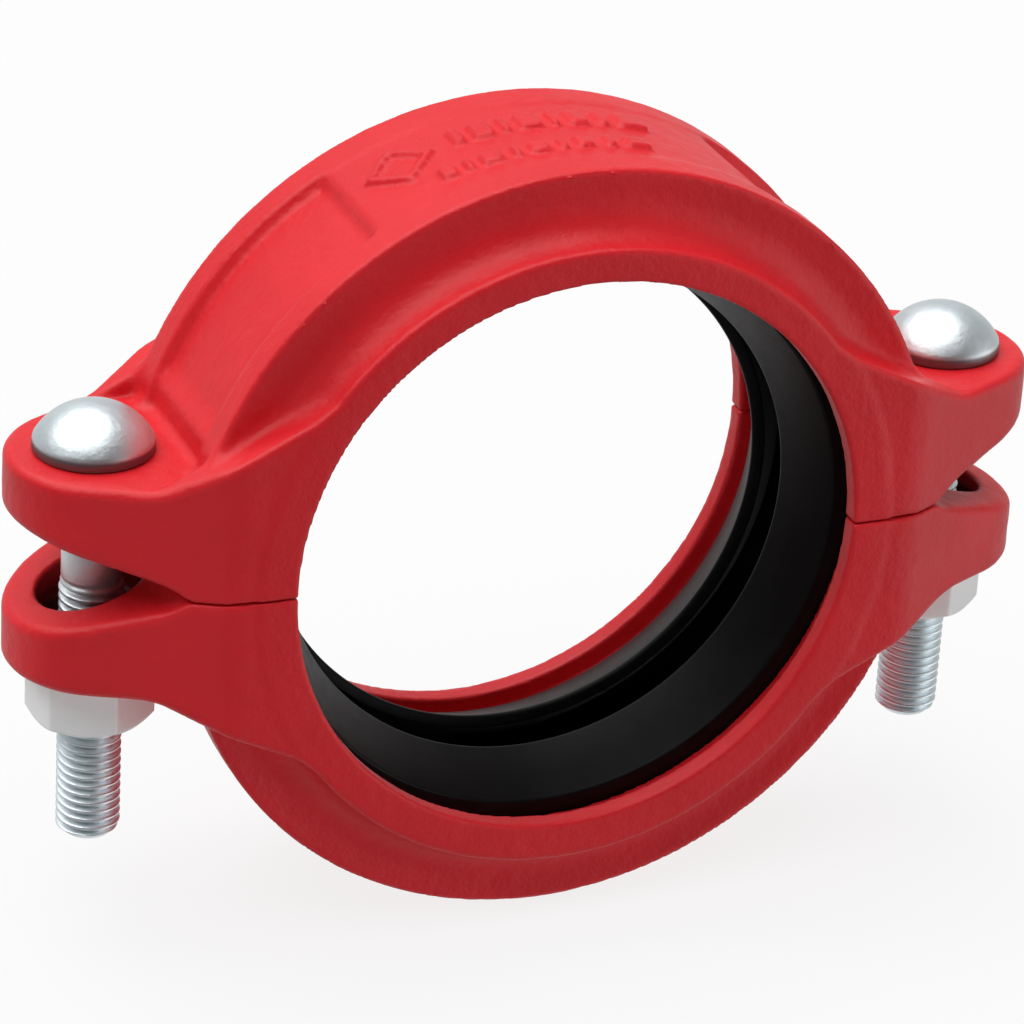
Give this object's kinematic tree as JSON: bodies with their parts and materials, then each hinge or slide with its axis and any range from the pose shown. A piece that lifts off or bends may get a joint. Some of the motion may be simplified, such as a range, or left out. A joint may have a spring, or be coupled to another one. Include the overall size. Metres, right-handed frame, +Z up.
{
  "type": "grooved pipe coupling",
  "caption": "Rigid grooved pipe coupling: a split red cast housing around a C-section rubber gasket, drawn together by oval-neck track bolts and heavy hex nuts.",
  "frame": {"origin": "on the pipe axis at mid-width of the coupling, where the parting plane of the two halves crosses it", "axes": "+X from the left bolt to the right bolt, +Y along the pipe, +Z up along the bolts towards their heads"},
  "size_m": [0.2028, 0.0562, 0.1482],
  "materials": {
    "housing_paint": "semi-gloss red paint over as-cast ductile iron",
    "gasket_rubber": "smooth moulded black EPDM",
    "zinc_bolt": "bright zinc plated steel",
    "zinc_nut": "bright zinc plated steel"
  },
  "bodies": {
    "lower_half": {"lower_housing": "housing_paint"},
    "upper_half": {"upper_housing": "housing_paint"},
    "seal": {"gasket": "gasket_rubber"},
    "left_bolt": {"bolt_left": "zinc_bolt"},
    "right_bolt": {"bolt_right": "zinc_bolt"},
    "left_nut": {"nut_left": "zinc_nut"},
    "right_nut": {"nut_right": "zinc_nut"}
  },
  "joints": [
    {"name": "left_nut_spin", "type": "hinge", "parent": "lower_half", "child": "left_nut", "pos_m": [-0.0851, 0, -0.027], "axis": [0, 0, -1], "range_deg": [0, 4320]},
    {"name": "right_nut_spin", "type": "hinge", "parent": "lower_half", "child": "right_nut", "pos_m": [0.0851, 0, -0.027], "axis": [0, 0, -1], "range_deg": [0, 4320]},
    {"name": "left_bolt_lift", "type": "slide", "parent": "lower_half", "child": "left_bolt", "axis": [0, 0, 1], "range_m": [0, 0.021]},
    {"name": "right_bolt_lift", "type": "slide", "parent": "lower_half", "child": "right_bolt", "axis": [0, 0, 1], "range_m": [0, 0.021]},
    {"name": "upper_half_lift", "type": "slide", "parent": "lower_half", "child": "upper_half", "axis": [0, 0, 1], "range_m": [0, 0.021]},
    {"name": "seal_centre", "type": "slide", "parent": "lower_half", "child": "seal", "axis": [0, 0, 1], "range_m": [0, 0.0105]}
  ],
  "couplings": [
    {"joint": "left_nut_spin", "follows": "upper_half_lift", "rad_per_m": 3590.4},
    {"joint": "right_nut_spin", "follows": "upper_half_lift", "rad_per_m": 3590.4},
    {"joint": "left_bolt_lift", "follows": "upper_half_lift", "ratio": 1},
    {"joint": "right_bolt_lift", "follows": "upper_half_lift", "ratio": 1},
    {"joint": "seal_centre", "follows": "upper_half_lift", "ratio": 0.5}
  ]
}
